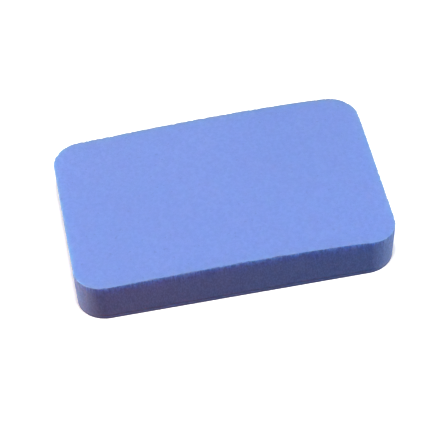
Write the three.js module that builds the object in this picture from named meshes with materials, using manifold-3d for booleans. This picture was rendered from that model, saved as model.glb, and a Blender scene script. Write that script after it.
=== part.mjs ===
// A detailing clay pad: a die-cut foam block with a thin layer of synthetic clay glued under it.
// Millimetres, +Z up. The origin is the centre of the clay's working face, and +X runs along the
// length. The layers lie on each other at flat, level joints, so they touch without overlapping.
import Module from 'manifold-3d';
import * as THREE from 'three';
import { mergeVertices } from 'three/addons/utils/BufferGeometryUtils.js';

// Driving dimensions.
const LENGTH = 114;
const WIDTH = 76;
const END_HEIGHT = 14.8;
const CROWN = 1.8;
const CORNER_RADIUS = 10.6;
const WALL_DRAFT = 0.2;
const CLAY_THICKNESS = 1.0;
const FILM_THICKNESS = 0.2;

// Fineness of the curved faces.
const CORNER_SEGMENTS = 16;
const CROWN_SEGMENTS = 32;

// Levels of the joints between the layers.
const CLAY_TOP = CLAY_THICKNESS;
const FILM_TOP = CLAY_TOP + FILM_THICKNESS;
const CREST = END_HEIGHT + CROWN;

const wasm = await Module();
wasm.setup();

// The block's outline in plan: a rectangle whose corners are quarter circles.
function planOutline() {
  const x = LENGTH / 2 - CORNER_RADIUS;
  const y = WIDTH / 2 - CORNER_RADIUS;
  const outline = new THREE.Shape();
  outline.absarc(x, y, CORNER_RADIUS, 0, Math.PI / 2);
  outline.absarc(-x, y, CORNER_RADIUS, Math.PI / 2, Math.PI);
  outline.absarc(-x, -y, CORNER_RADIUS, Math.PI, 1.5 * Math.PI);
  outline.absarc(x, -y, CORNER_RADIUS, 1.5 * Math.PI, 2 * Math.PI);
  outline.closePath();
  return outline;
}

// The blade leans as it sinks into the foam, so every wall stands in a little towards the bottom:
// by nothing at the crest, and by WALL_DRAFT at the working face.
function draftAt(z) {
  return WALL_DRAFT * (1 - z / CREST);
}

// A layer of the block between two levels, with the walls' draft.
function layer(bottom, top) {
  const geometry = new THREE.ExtrudeGeometry(planOutline(), {
    depth: top - bottom,
    bevelEnabled: false,
    curveSegments: CORNER_SEGMENTS / 2,
  });
  geometry.translate(0, 0, bottom);
  const position = geometry.getAttribute('position');
  for (let i = 0; i < position.count; i += 1) {
    const inset = draftAt(position.getZ(i));
    position.setX(i, position.getX(i) * (1 - (2 * inset) / LENGTH));
    position.setY(i, position.getY(i) * (1 - (2 * inset) / WIDTH));
  }
  return geometry;
}

// Everything under the foam's top face, which rises from each end to a crest at mid length and is
// level across the width. Its sides reach past the block's walls.
function underCrown() {
  const reach = LENGTH;
  const profile = new THREE.Shape();
  profile.moveTo(-reach, -reach);
  profile.lineTo(reach, -reach);
  profile.lineTo(reach, END_HEIGHT);
  for (let i = 0; i <= CROWN_SEGMENTS; i += 1) {
    const along = 1 - (2 * i) / CROWN_SEGMENTS;
    profile.lineTo((along * LENGTH) / 2, END_HEIGHT + CROWN * (1 - along * along));
  }
  profile.lineTo(-reach, END_HEIGHT);
  profile.closePath();
  const geometry = new THREE.ExtrudeGeometry(profile, { depth: 2 * reach, bevelEnabled: false });
  geometry.rotateX(Math.PI / 2);
  geometry.translate(0, reach, 0);
  return geometry;
}

function solidFrom(geometry) {
  const bare = geometry.clone();
  bare.deleteAttribute('normal');
  bare.deleteAttribute('uv');
  const merged = mergeVertices(bare);
  const vertProperties = new Float32Array(merged.getAttribute('position').array);
  const triVerts = new Uint32Array(merged.getIndex().array);
  return new wasm.Manifold(new wasm.Mesh({ numProp: 3, vertProperties, triVerts }));
}

function geometryFrom(solid) {
  const mesh = solid.getMesh();
  const geometry = new THREE.BufferGeometry();
  geometry.setAttribute('position', new THREE.BufferAttribute(mesh.vertProperties, 3));
  geometry.setIndex(new THREE.BufferAttribute(mesh.triVerts, 1));
  geometry.computeVertexNormals();
  return geometry;
}

function piece(name, geometry, color, roughness) {
  const material = new THREE.MeshStandardMaterial({ color, roughness, metalness: 0 });
  const mesh = new THREE.Mesh(geometry, material);
  mesh.name = name;
  return mesh;
}

// The soft grip, which is nearly the whole block.
function foamBlock() {
  const blank = solidFrom(layer(FILM_TOP, CREST + CROWN));
  const geometry = geometryFrom(blank.intersect(solidFrom(underCrown())));
  return piece('foam_block', geometry, 0x849eeb, 0.95);
}

// The adhesive between the foam and the clay.
function bondFilm() {
  return piece('bond_film', layer(CLAY_TOP, FILM_TOP), 0x8eacf7, 0.4);
}

// The working layer of synthetic clay, with its flat face down.
function clayFace() {
  return piece('clay_face', layer(0, CLAY_TOP), 0x6979bf, 0.55);
}

const clayPad = new THREE.Group();
clayPad.name = 'detailing_clay_pad';
clayPad.add(foamBlock(), bondFilm(), clayFace());

export default clayPad;
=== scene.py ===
"""A foam-backed detailing clay pad on a pale floor: a die-cut foam block, the adhesive film under it
and the thin clay layer that does the work. Metres, in the frame's own axes: +X along the block's
length and +Z up from the clay's working face."""
import math
import random

import bpy
import numpy as np
from mathutils import Matrix, Vector, kdtree, noise


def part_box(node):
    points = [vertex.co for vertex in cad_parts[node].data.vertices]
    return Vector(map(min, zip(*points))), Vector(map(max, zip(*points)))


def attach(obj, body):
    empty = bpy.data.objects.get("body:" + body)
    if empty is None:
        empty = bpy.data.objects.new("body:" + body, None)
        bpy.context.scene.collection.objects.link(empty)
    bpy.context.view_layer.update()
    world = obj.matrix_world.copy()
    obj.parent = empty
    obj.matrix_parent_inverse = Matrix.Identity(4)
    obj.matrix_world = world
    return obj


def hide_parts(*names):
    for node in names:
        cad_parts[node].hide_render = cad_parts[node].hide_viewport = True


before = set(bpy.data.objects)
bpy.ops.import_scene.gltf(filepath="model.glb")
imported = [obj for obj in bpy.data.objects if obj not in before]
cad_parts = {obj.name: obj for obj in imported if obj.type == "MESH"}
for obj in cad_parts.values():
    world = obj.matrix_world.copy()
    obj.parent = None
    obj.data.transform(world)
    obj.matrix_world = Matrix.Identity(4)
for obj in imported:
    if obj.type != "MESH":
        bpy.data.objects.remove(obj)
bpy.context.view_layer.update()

MM = 0.001
UP = np.array([0.0, 0.0, 1.0])

# The layers' levels and the crest's half width and height, as the frame has them. The draft is how
# far the clay's top edge stands in from the crest's.
FOAM_LOW, FOAM_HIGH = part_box("foam_block")
FILM_LOW, FILM_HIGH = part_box("bond_film")
CLAY_LOW, CLAY_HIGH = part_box("clay_face")
HALF_WIDTH = FOAM_HIGH.y
CREST = FOAM_HIGH.z
WALL_DRAFT = HALF_WIDTH - CLAY_HIGH.y

# What a box can't say: the length at the crest's level, the crown and the corners.
HALF_LENGTH = 57 * MM
CROWN = 1.8 * MM
END_HEIGHT = CREST - CROWN
CORNER_RADIUS = 10.6 * MM

# The foam's set: its crest lies a little to the right, two opposite corners curl up, and the
# right end's wall was cut on a lean, so that it stands in further towards the bottom.
CREST_LEAN = 0.95 * MM
TWIST = 0.54 * MM
END_LEAN = 1.0 * MM

# The rounding of each layer's outer edge, and a hair's gap at each glued joint, so that light can
# cross it from one mesh to the next.
FOAM_ARRIS = 0.16 * MM
FILM_ARRIS = 0.05 * MM
CLAY_ARRIS = 0.12 * MM
JOINT_GAP = 0.03 * MM

# Fineness of the meshes. The rows of a wall crowd towards its face.
FOAM_CELL = 0.4 * MM
LAYER_CELL = 0.6 * MM
FOAM_WALL_ROWS = 24
FILM_WALL_ROWS = 4
CLAY_WALL_ROWS = 6
ARRIS_ROWS = 4
WALL_CROWDING = 1.35


# ---------------------------------------------------------------- meshes


def ripple(points, wavelength, seed, octaves=1):
    """Smooth noise at each point, from about -1 to 1, whose humps are about a wavelength across."""
    offset = np.array([seed * 13.7, seed * 7.9, seed * 3.1])
    return np.array([noise.fractal(Vector(p), 1.0, 2.0, octaves) for p in points / wavelength + offset])


def draft_at(z):
    """How far the cut wall stands in from the crest's outline at a height."""
    return WALL_DRAFT * (1 - z / CREST)


def plan_grid(half_x, half_y, radius, cell):
    """A grid of points that fills a rounded rectangle: even cells, and at each corner a square of
    cells bent to a quarter disc."""
    columns = 2 * round(half_x / cell)
    rows = 2 * round(half_y / cell)
    x, y = np.meshgrid(
        np.linspace(-half_x, half_x, columns + 1), np.linspace(-half_y, half_y, rows + 1)
    )
    core_x, core_y = half_x - radius, half_y - radius
    u = np.clip((np.abs(x) - core_x) / radius, 0, 1)
    v = np.clip((np.abs(y) - core_y) / radius, 0, 1)
    bent_u = u * np.sqrt(1 - v * v / 2)
    bent_v = v * np.sqrt(1 - u * u / 2)
    x = np.sign(x) * (np.minimum(np.abs(x), core_x) + radius * bent_u)
    y = np.sign(y) * (np.minimum(np.abs(y), core_y) + radius * bent_v)
    return np.stack([x, y], axis=-1)


def outward_from_core(points, half_x, half_y, radius):
    """The outline's outward direction at each of its points."""
    core = np.array([half_x - radius, half_y - radius])
    away = points - np.clip(points, -core, core)
    return away / np.linalg.norm(away, axis=1, keepdims=True)


class Layer:
    """One closed layer of the block. Its face is a grid, its walls are rings of the grid's border,
    and its back, which is glued to a neighbour, is one flat polygon. A layer that faces down is
    built the same way and mirrored."""

    def __init__(self, face_height, back_height, arris, wall_rows, cell):
        half_x, half_y, radius = HALF_LENGTH - arris, HALF_WIDTH - arris, CORNER_RADIUS - arris
        grid = plan_grid(half_x, half_y, radius, cell)
        index = np.arange(grid.shape[0] * grid.shape[1]).reshape(grid.shape[:2])
        border = np.concatenate(
            [index[0, :-1], index[:-1, -1], index[-1, :0:-1], index[:0:-1, 0]]
        )
        face = grid.reshape(-1, 2)
        face_z = face_height(face[:, 0], face[:, 1])
        self.faces_up = back_height < face_z[0]
        up = 1.0 if self.faces_up else -1.0
        points = [self.drawn_in(face, face_z)]
        directions = [np.tile(UP * up, (len(face), 1))]
        depths = [np.zeros(len(face))]

        edge, edge_z = face[border], face_z[border]
        outward = outward_from_core(edge, half_x, half_y, radius)
        across = np.column_stack([outward, np.zeros(len(edge))])
        wall_height = edge_z - up * arris - back_height
        for reach, drop, sink, tilt in self.profile(wall_rows):
            z = edge_z - up * arris * drop - wall_height * sink
            points.append(self.drawn_in(edge + outward * (arris * reach), z))
            directions.append(math.sin(tilt) * across + math.cos(tilt) * UP * up)
            depths.append(np.abs(z - edge_z))

        self.points = np.concatenate(points)
        self.outward = np.concatenate(directions)
        self.depth = np.concatenate(depths)
        self.polygons = self.join(index, border, len(face), len(points) - 1)

    @staticmethod
    def profile(wall_rows):
        """(reach, drop, sink, tilt) of each ring from the face's border to the back. Reach and drop
        are shares of the arris, sink is a share of the wall under it, and tilt is from upright."""
        for i in range(1, ARRIS_ROWS + 1):
            angle = math.pi / 2 * i / ARRIS_ROWS
            yield math.sin(angle), 1 - math.cos(angle), 0.0, angle
        for i in range(1, wall_rows + 1):
            yield 1.0, 1.0, (i / wall_rows) ** WALL_CROWDING, math.pi / 2

    @staticmethod
    def drawn_in(plan, z):
        """Points at a plan place and a height, pulled towards the middle by the walls' draft and
        towards the left by the right end's lean."""
        inset = draft_at(z)[:, None] * np.ones(2)
        drawn = plan * (1 - inset / np.array([HALF_LENGTH, HALF_WIDTH]))
        from_left = (1 + plan[:, 0] / HALF_LENGTH) / 2
        drawn[:, 0] -= END_LEAN * from_left * np.maximum(1 - z / END_HEIGHT, 0)
        return np.column_stack([drawn, z])

    def join(self, index, border, face_count, rings):
        """Polygons of the face, the walls and the back."""
        quads = np.stack(
            [index[:-1, :-1], index[:-1, 1:], index[1:, 1:], index[1:, :-1]], axis=-1
        ).reshape(-1, 4)
        around = len(border)
        loops = [border] + [
            face_count + ring * around + np.arange(around) for ring in range(rings)
        ]
        walls = [
            np.column_stack([upper, lower, np.roll(lower, -1), np.roll(upper, -1)])
            for upper, lower in zip(loops, loops[1:])
        ]
        back = loops[-1][::-1]
        polygons = np.concatenate([quads, *walls]).tolist() + [back.tolist()]
        if not self.faces_up:
            polygons = [polygon[::-1] for polygon in polygons]
        return polygons

    def push(self, amounts):
        """Moves every point along its outward direction."""
        self.points += self.outward * amounts[:, None]

    def press(self, centres, radii, depths):
        """Presses a round-bottomed pit into the surface at each centre."""
        tree = kdtree.KDTree(len(self.points))
        for i, point in enumerate(self.points):
            tree.insert(point, i)
        tree.balance()
        for centre, radius, depth in zip(centres, radii, depths):
            for _, i, distance in tree.find_range(centre, radius):
                share = distance / radius
                self.points[i] -= self.outward[i] * (depth * (1 - share * share) ** 2)

    def press_at_random(self, where, count, radii, depths, seed):
        """Presses pits of random sizes, in millimetres, at points drawn from where a mask is true."""
        draw = random.Random(seed)
        among = np.nonzero(where)[0]
        chosen = among[[draw.randrange(len(among)) for _ in range(count)]]
        radii = random_sizes(draw, count, radii)
        depths = random_sizes(draw, count, depths)
        self.press(self.points[chosen].tolist(), radii, depths)

    def piece(self, name):
        """The layer as a Blender object, smooth-shaded but for its back. The mesh carries each
        point's depth below the face, for the material."""
        mesh = bpy.data.meshes.new(name)
        mesh.from_pydata(self.points.tolist(), [], self.polygons)
        smooth = np.ones(len(mesh.polygons), dtype=bool)
        smooth[-1] = False
        mesh.polygons.foreach_set("use_smooth", smooth)
        depth = mesh.attributes.new("depth", "FLOAT", "POINT")
        depth.data.foreach_set("value", self.depth.astype(np.float32))
        mesh.update()
        obj = bpy.data.objects.new(name, mesh)
        bpy.context.scene.collection.objects.link(obj)
        return obj


def random_sizes(draw, count, limits):
    """Sizes given in millimetres, most of them near the smaller limit."""
    low, high = limits
    return [(low + (high - low) * draw.random() ** 2) * MM for _ in range(count)]


def foam_top(x, y):
    """The height of the foam's crowned and slightly twisted top."""
    along, across = x / HALF_LENGTH, y / HALF_WIDTH
    rise = (CROWN + CREST_LEAN * along) * (1 - along**2)
    return END_HEIGHT + rise + TWIST * along * across


def level(z):
    """The height of a flat face."""
    return lambda x, y: np.full(len(x), z)


def foam_block():
    """The die-cut foam, with the marks of slicing on its top and of the blade on its walls."""
    layer = Layer(foam_top, FOAM_LOW.z, FOAM_ARRIS, FOAM_WALL_ROWS, FOAM_CELL)
    on_wall = np.clip(layer.depth / FOAM_ARRIS, 0, 1)
    on_face = 1 - on_wall
    # The marks fade out over the last millimetre above the glue.
    free = np.clip((layer.points[:, 2] - FOAM_LOW.z) / (1 * MM), 0, 1)

    sag = 0.09 * MM * ripple(layer.points, 28 * MM, 1, 2)
    peel = 0.018 * MM * ripple(layer.points, 1.6 * MM, 2, 2)
    stretched = layer.points * np.array([1, 1, 0.2])
    under_edge = np.exp(-layer.depth / (3 * MM))
    strokes = (0.03 + 0.06 * under_edge) * MM * ripple(stretched, 1.5 * MM, 3, 3)
    at_edge = np.exp(-((layer.depth / (0.5 * MM)) ** 2)) * on_wall
    fray = 0.08 * MM * ripple(layer.points, 1.1 * MM, 4, 2) * at_edge
    layer.push(((sag + peel) * on_face + (strokes + fray) * on_wall) * free)

    # Open cells in the top and the walls, and small bites that the blade pulled out of the edge. The
    # bites sit on the rounding's lower rows, and the first row under those is over 0.3 mm deep.
    bitten = (layer.depth > 0.05 * MM) & (layer.depth < 0.2 * MM)
    layer.press_at_random(layer.depth == 0, 900, (0.3, 0.62), (0.05, 0.16), seed=5)
    layer.press_at_random(layer.depth > 0.8 * MM, 500, (0.35, 0.6), (0.04, 0.12), seed=6)
    layer.press_at_random(bitten, 190, (0.5, 1.0), (0.06, 0.28), seed=7)
    return layer.piece("foam_grip")


def bond_film():
    """The adhesive, with an edge that wanders where it was squeezed."""
    top, bottom = FILM_HIGH.z - JOINT_GAP, FILM_LOW.z + JOINT_GAP
    layer = Layer(level(top), bottom, FILM_ARRIS, FILM_WALL_ROWS, LAYER_CELL)
    beads = 0.02 * MM * ripple(layer.points * np.array([1, 1, 0]), 2.4 * MM, 8, 2)
    on_wall = layer.outward[:, 2] < 0.5
    layer.push(beads * on_wall)
    return layer.piece("adhesive_layer")


def clay_layer():
    """The synthetic clay, with its working face down: rolled flat, with faint roller marks, dimples
    and pits. The marks only go inwards, so that the face lies flat on the floor."""
    layer = Layer(level(CLAY_LOW.z), CLAY_HIGH.z, CLAY_ARRIS, CLAY_WALL_ROWS, LAYER_CELL)
    on_face = layer.depth == 0
    on_wall = layer.depth > CLAY_ARRIS / 2
    marks = 0.012 * MM * ripple(layer.points * np.array([0.12, 1, 1]), 2.2 * MM, 9, 2)
    dimples = 0.02 * MM * ripple(layer.points, 3.5 * MM, 10, 3)
    cut = 0.04 * MM * ripple(layer.points * np.array([1, 1, 0.2]), 1.1 * MM, 11, 2)
    layer.push(np.where(on_face, np.minimum(marks, 0) + np.minimum(dimples, 0), cut * on_wall))
    layer.press_at_random(on_face, 60, (0.7, 1.6), (0.02, 0.06), seed=12)
    return layer.piece("clay_layer")


# ---------------------------------------------------------------- materials


class Shader:
    """A new material with a Principled shader, and short ways to add and join nodes."""

    def __init__(self, name):
        self.material = bpy.data.materials.new(name)
        self.material.use_nodes = True
        self.nodes = self.material.node_tree.nodes
        self.links = self.material.node_tree.links
        self.principled = next(n for n in self.nodes if n.type == "BSDF_PRINCIPLED")
        self.place = self.nodes.new("ShaderNodeTexCoord").outputs["Object"]

    def set(self, **values):
        """Sets sockets of the Principled shader, with underscores for the spaces in their names."""
        for name, value in values.items():
            self.feed(value, self.principled.inputs[name.replace("_", " ")])

    def feed(self, value, socket):
        if isinstance(value, bpy.types.NodeSocket):
            self.links.new(value, socket)
        else:
            socket.default_value = value

    def stretched(self, scale):
        """The place on the object, scaled: a scale below 1 draws a texture out along that axis."""
        node = self.nodes.new("ShaderNodeMapping")
        node.inputs["Scale"].default_value = scale
        self.links.new(self.place, node.inputs["Vector"])
        return node.outputs["Vector"]

    def noise(self, size, detail=2.0, roughness=0.5, place=None):
        """Cloudy noise from 0 to 1, with clouds of a size in metres."""
        node = self.nodes.new("ShaderNodeTexNoise")
        node.inputs["Scale"].default_value = 1 / size
        node.inputs["Detail"].default_value = detail
        node.inputs["Roughness"].default_value = roughness
        self.links.new(place or self.place, node.inputs["Vector"])
        return node.outputs["Fac"]

    def cells(self, size):
        """The distance from the middle of the nearest of many cells of a size in metres."""
        node = self.nodes.new("ShaderNodeTexVoronoi")
        node.inputs["Scale"].default_value = 1 / size
        self.links.new(self.place, node.inputs["Vector"])
        return node.outputs["Distance"]

    def attribute(self, name):
        """A number that the mesh carries at its points."""
        node = self.nodes.new("ShaderNodeAttribute")
        node.attribute_name = name
        return node.outputs["Fac"]

    def z_of(self, vector):
        split = self.nodes.new("ShaderNodeSeparateXYZ")
        self.links.new(vector, split.inputs["Vector"])
        return split.outputs["Z"]

    def height(self):
        """The height above the working face."""
        return self.z_of(self.place)

    def upright(self):
        """1 where the surface faces up or down, and 0 on a wall."""
        geometry = self.nodes.new("ShaderNodeNewGeometry")
        slope = self.math("ABSOLUTE", self.z_of(geometry.outputs["True Normal"]))
        return self.remap(slope, 0.3, 0.8, 0.0, 1.0)

    def math(self, operation, a, b=0.0, c=0.0):
        node = self.nodes.new("ShaderNodeMath")
        node.operation = operation
        for value, socket in zip((a, b, c), node.inputs):
            self.feed(value, socket)
        return node.outputs["Value"]

    def remap(self, value, from_low, from_high, to_low, to_high):
        """A smooth step from one range to another, level outside it."""
        node = self.nodes.new("ShaderNodeMapRange")
        node.interpolation_type = "SMOOTHSTEP"
        self.links.new(value, node.inputs["Value"])
        for name, limit in (
            ("From Min", from_low),
            ("From Max", from_high),
            ("To Min", to_low),
            ("To Max", to_high),
        ):
            self.feed(limit, node.inputs[name])
        return node.outputs["Result"]

    def mix(self, share, a, b):
        """Colour a, with a share of colour b."""
        node = self.nodes.new("ShaderNodeMix")
        node.data_type = "RGBA"
        self.feed(share, node.inputs[0])
        self.feed(a, node.inputs[6])
        self.feed(b, node.inputs[7])
        return node.outputs[2]

    def finish(self, color, roughness, height, distance):
        """The material, with bumps of a height from 0 to 1 that stands for a distance in metres."""
        bump = self.nodes.new("ShaderNodeBump")
        bump.inputs["Strength"].default_value = 1.0
        bump.inputs["Distance"].default_value = distance
        self.links.new(height, bump.inputs["Height"])
        self.set(Base_Color=color, Roughness=roughness, Normal=bump.outputs["Normal"])
        return self.material


# The foam's blues. Some of them are painted light: shade in pores, pits and the blade's tears, and a
# glow just under the top edge.
FOAM_PLAIN = (0.23, 0.34, 0.805, 1)
FOAM_DEEPER = (0.214, 0.318, 0.765, 1)
FOAM_SPECK = (0.168, 0.267, 0.69, 1)
# Painted shade: a deeper blue for the shade inside open pores.
FOAM_PORE_SHADE = (0.116, 0.186, 0.52, 1)
# Painted shade: rare dark spots for the shade in small pits.
FOAM_PIT_SHADE = (0.104, 0.162, 0.46, 1)
FOAM_CUT = (0.116, 0.186, 0.53, 1)
# Painted glow: a paler blue for light that soaks into the wall from the top, just under the top edge.
FOAM_PAINTED_GLOW = (0.3, 0.46, 1.0, 1)
# Painted shade in the blade's tears, the dark teeth under the top edge.
FOAM_TOOTH_SHADE = (0.07, 0.105, 0.35, 1)
FOAM_AT_JOINT = (0.25, 0.35, 0.8, 1)

# How far light spreads in the foam, and how far just above the joint. Light that spreads far there
# leaves through the foam's back and is lost, which would draw a dark band that real foam doesn't
# have. The spread is whole again at its reach, and a paler tint, up to its own reach, evens out the
# rest. This corrects the rendering and isn't a property of the foam.
LIGHT_SPREAD = 7 * MM
JOINT_SPREAD = 0.6 * MM
SPREAD_REACH = 8 * MM
TINT_REACH = 2 * MM
JOINT_TINT_SHARE = 0.5


def blade_marks_and_painted_light(shader):
    """The shares of the blade's marks and of painted light: grain all the way down the walls, and under
    the top edge a painted glow of light soaking in from the top, between teeth of painted shade."""
    wall = shader.math("SUBTRACT", 1.0, shader.upright())
    near_edge = shader.math(
        "MULTIPLY", wall, shader.remap(shader.attribute("depth"), 0.5 * MM, 6.0 * MM, 1.0, 0.0)
    )
    grain = shader.noise(0.5 * MM, 2.0, 0.6, shader.stretched((1, 1, 0.5)))
    teeth = shader.noise(0.65 * MM, 2.0, 0.6, shader.stretched((1, 1, 0.2)))
    cut = shader.math("MULTIPLY", shader.remap(grain, 0.3, 0.7, 0.0, 0.65), wall)
    # Painted glow of light soaking in from the top, between the teeth under the top edge.
    painted_glow = shader.math("MULTIPLY", shader.remap(teeth, 0.38, 0.55, 0.26, 0.0), near_edge)
    # The teeth: bumps, and painted shade in their colour.
    teeth_and_shade = shader.math("MULTIPLY", shader.remap(teeth, 0.45, 0.62, 0.0, 0.27), near_edge)
    return cut, painted_glow, teeth_and_shade


def foam_material():
    """Closed-cell foam: matte, pored, streaked where it was cut, and letting light some way in, the
    blue furthest. Its colour also holds painted light: shade in pores, pits and teeth, and a glow under
    the top edge."""
    shader = Shader("blue_foam")
    broad = shader.noise(32 * MM, 2.0, 0.5)
    specks = shader.noise(1.3 * MM, 3.0, 0.62)
    # The pores' pattern makes bumps, and its colour is painted shade inside them.
    pores_and_shade = shader.remap(shader.cells(0.55 * MM), 0.12, 0.34, 1.0, 0.0)
    # Rare dark spots of painted shade, standing for the shade in small pits.
    pit_shade_spots = shader.remap(shader.noise(1.5 * MM, 1.0), 0.69, 0.78, 0.0, 1.0)
    cut, painted_glow, teeth_and_shade = blade_marks_and_painted_light(shader)
    tinted = shader.remap(
        shader.height(), FOAM_LOW.z, FOAM_LOW.z + TINT_REACH, JOINT_TINT_SHARE, 0.0
    )
    spread = shader.remap(
        shader.height(), FOAM_LOW.z, FOAM_LOW.z + SPREAD_REACH, JOINT_SPREAD, LIGHT_SPREAD
    )

    color = shader.mix(broad, FOAM_DEEPER, FOAM_PLAIN)
    for share, mark in (
        (shader.remap(specks, 0.3, 0.7, 0.0, 0.5), FOAM_SPECK),
        (shader.math("MULTIPLY", pores_and_shade, 0.3), FOAM_PORE_SHADE),
        (shader.math("MULTIPLY", pit_shade_spots, 0.3), FOAM_PIT_SHADE),
        (cut, FOAM_CUT),
        (painted_glow, FOAM_PAINTED_GLOW),
        (teeth_and_shade, FOAM_TOOTH_SHADE),
        (tinted, FOAM_AT_JOINT),
    ):
        color = shader.mix(share, color, mark)
    height = shader.math("MULTIPLY_ADD", pores_and_shade, -0.6, specks)
    height = shader.math("MULTIPLY_ADD", teeth_and_shade, -1.5, height)
    roughness = shader.remap(specks, 0.2, 0.8, 0.78, 0.95)
    shader.set(
        Subsurface_Weight=1.0,
        Subsurface_Radius=(0.35, 0.95, 1.0),
        Subsurface_Scale=spread,
        Specular_IOR_Level=0.2,
    )
    return shader.finish(color, roughness, height, 0.06 * MM)


def film_material():
    """Set adhesive: smooth and a cloudy blue near the foam's, with small bubbles."""
    shader = Shader("adhesive_film")
    bubbles = shader.remap(shader.cells(0.5 * MM), 0.1, 0.3, 1.0, 0.0)
    cloud = shader.noise(2.5 * MM, 3.0)
    color = shader.mix(cloud, (0.235, 0.37, 0.88, 1), (0.27, 0.42, 0.97, 1))
    color = shader.mix(shader.math("MULTIPLY", bubbles, 0.3), color, (0.3, 0.33, 0.45, 1))
    roughness = shader.remap(cloud, 0.3, 0.7, 0.3, 0.45)
    shader.set(Subsurface_Weight=0.3, Subsurface_Scale=0.4 * MM)
    return shader.finish(color, roughness, bubbles, 0.02 * MM)


def clay_material():
    """Synthetic clay: satin and a little tacky, mottled, with fine grit through it."""
    shader = Shader("synthetic_clay")
    cloud = shader.noise(11 * MM, 4.0, 0.6)
    rolled = shader.noise(1.4 * MM, 3.0, 0.6, shader.stretched((0.08, 1, 1)))
    grit = shader.remap(shader.cells(0.38 * MM), 0.08, 0.24, 1.0, 0.0)
    peel = shader.noise(0.7 * MM, 3.0, 0.6)
    color = shader.mix(cloud, (0.124, 0.176, 0.49, 1), (0.145, 0.204, 0.55, 1))
    color = shader.mix(shader.remap(rolled, 0.4, 0.7, 0.0, 0.3), color, (0.17, 0.228, 0.6, 1))
    color = shader.mix(shader.math("MULTIPLY", grit, 0.28), color, (0.08, 0.115, 0.32, 1))
    roughness = shader.remap(rolled, 0.3, 0.7, 0.42, 0.62)
    height = shader.math("MULTIPLY_ADD", grit, 0.5, peel)
    shader.set(Subsurface_Weight=0.15, Subsurface_Scale=0.5 * MM, Coat_Weight=0.12, Coat_Roughness=0.4)
    return shader.finish(color, roughness, height, 0.03 * MM)


def stand_for(piece, node, material):
    """Gives a piece its material and its body, and hides the CAD node's mesh that it stands for."""
    piece.data.materials.append(material)
    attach(piece, "root")
    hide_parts(node)
    return piece


# ---------------------------------------------------------------- camera, light and floor

# The camera looks from the front, a little from the left and half way down, through a long lens
# that is rolled slightly. It aims just beside the block's middle.
VIEW_AZIMUTH = math.radians(-7.0)
VIEW_ELEVATION = math.radians(44.87)
VIEW_ROLL = math.radians(-4.74)
DISTANCE_IN_LENGTHS = 6.02
VIEW_DISTANCE = DISTANCE_IN_LENGTHS * 2 * HALF_LENGTH
LENS_MM = 159.7
AIM = Vector((0, 0, END_HEIGHT / 2))
AIM_ASIDE = -2.44 * MM
AIM_DOWN = 3.23 * MM

LAMP_AIM = Vector((0, 0, 0.01))

# The surround's strength for the camera and for what it lights, and the floor.
SURROUND_SEEN = 1.0
SURROUND_FILL = 0.06
FLOOR_HALF = 0.5
FLOOR_SINK = 0.05 * MM
FLOOR_GLOW = 0.6


def add_camera():
    azimuth, elevation = VIEW_AZIMUTH, VIEW_ELEVATION
    back = Vector(
        (
            math.sin(azimuth) * math.cos(elevation),
            -math.cos(azimuth) * math.cos(elevation),
            math.sin(elevation),
        )
    )
    level_right = Vector((0, 0, 1)).cross(back).normalized()
    level_up = back.cross(level_right)
    right = level_right * math.cos(VIEW_ROLL) + level_up * math.sin(VIEW_ROLL)
    up = back.cross(right)
    place = AIM + right * AIM_ASIDE - up * AIM_DOWN + back * VIEW_DISTANCE
    data = bpy.data.cameras.new("camera")
    data.lens = LENS_MM
    data.clip_start = 0.01
    camera = bpy.data.objects.new("camera", data)
    camera.matrix_world = Matrix.Translation(place) @ Matrix((right, up, back)).transposed().to_4x4()
    bpy.context.scene.collection.objects.link(camera)
    bpy.context.scene.camera = camera


def add_area_light(name, place, size, power, color):
    """A rectangular lamp that faces the block and that the camera doesn't see."""
    data = bpy.data.lights.new(name, "AREA")
    data.shape = "RECTANGLE"
    data.size, data.size_y = size
    data.energy = power
    data.color = color
    lamp = bpy.data.objects.new(name, data)
    lamp.location = place
    lamp.rotation_euler = (LAMP_AIM - Vector(place)).to_track_quat("-Z", "Y").to_euler()
    lamp.visible_camera = False
    bpy.context.scene.collection.objects.link(lamp)


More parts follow.
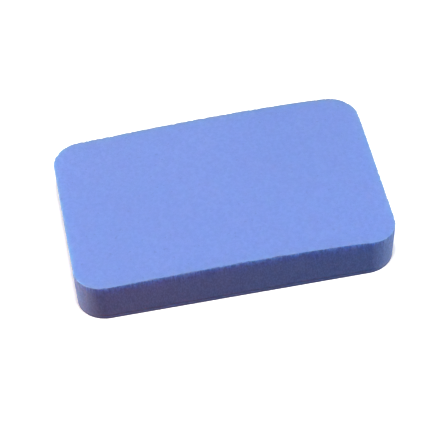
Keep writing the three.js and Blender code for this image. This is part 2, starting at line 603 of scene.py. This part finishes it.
def add_lights():
    """A soft key a little in front of straight above, so that the block hides its own shadow from
    the camera, and low lamps for the walls: warm at both ends and close to the left front, cool at
    the right front, and white behind."""
    add_area_light("key", (0.01, -0.1, 0.7), (0.1, 0.12), 4.8, (0.986, 0.994, 0.985))
    add_area_light("left_side", (-0.6, 0.12, 0.05), (0.4, 0.1), 4.5, (1.0, 0.72, 0.54))
    add_area_light("left_front", (-0.045, -0.1, 0.012), (0.07, 0.02), 0.0097, (1.0, 0.17, 0.02))
    add_area_light("right_side", (0.6, -0.1, 0.009), (0.4, 0.012), 2.65, (1.0, 0.82, 0.6))
    add_area_light("right_front", (0.26, -0.26, 0.05), (0.12, 0.06), 0.115, (0.03, 0.48, 1.0))
    add_area_light("back", (0.0, 0.7, 0.06), (0.3, 0.12), 0.6, (1.0, 1.0, 1.0))


def add_world():
    """A white surround for the camera, and a much weaker fill for everything that it lights."""
    world = bpy.data.worlds.new("surround")
    bpy.context.scene.world = world
    world.use_nodes = True
    nodes, links = world.node_tree.nodes, world.node_tree.links
    nodes.clear()
    for_camera = nodes.new("ShaderNodeLightPath").outputs["Is Camera Ray"]
    mix = nodes.new("ShaderNodeMixShader")
    output = nodes.new("ShaderNodeOutputWorld")
    links.new(for_camera, mix.inputs[0])
    for strength, socket in ((SURROUND_FILL, mix.inputs[1]), (SURROUND_SEEN, mix.inputs[2])):
        background = nodes.new("ShaderNodeBackground")
        background.inputs["Color"].default_value = (1, 1, 1, 1)
        background.inputs["Strength"].default_value = strength
        links.new(background.outputs[0], socket)
    links.new(mix.outputs[0], output.inputs["Surface"])


def add_floor():
    """A pale floor that also glows a little, as a light table does, so that the block's shadow on it
    stays faint. It throws no light back up at the block's walls."""
    half = FLOOR_HALF
    mesh = bpy.data.meshes.new("floor")
    corners = [(-half, -half, 0), (half, -half, 0), (half, half, 0), (-half, half, 0)]
    mesh.from_pydata(corners, [], [(0, 1, 2, 3)])
    floor = bpy.data.objects.new("floor", mesh)
    floor.location.z = -FLOOR_SINK
    floor.visible_diffuse = False
    floor.visible_glossy = False
    shader = Shader("pale_floor")
    shader.set(
        Base_Color=(0.9, 0.9, 0.9, 1),
        Emission_Color=(1, 1, 1, 1),
        Emission_Strength=FLOOR_GLOW,
        Roughness=0.9,
    )
    mesh.materials.append(shader.material)
    bpy.context.scene.collection.objects.link(floor)


foam = stand_for(foam_block(), "foam_block", foam_material())
stand_for(bond_film(), "bond_film", film_material())
stand_for(clay_layer(), "clay_face", clay_material())
add_camera()
add_lights()
add_world()
add_floor()
bpy.context.scene.view_settings.view_transform = "Standard"
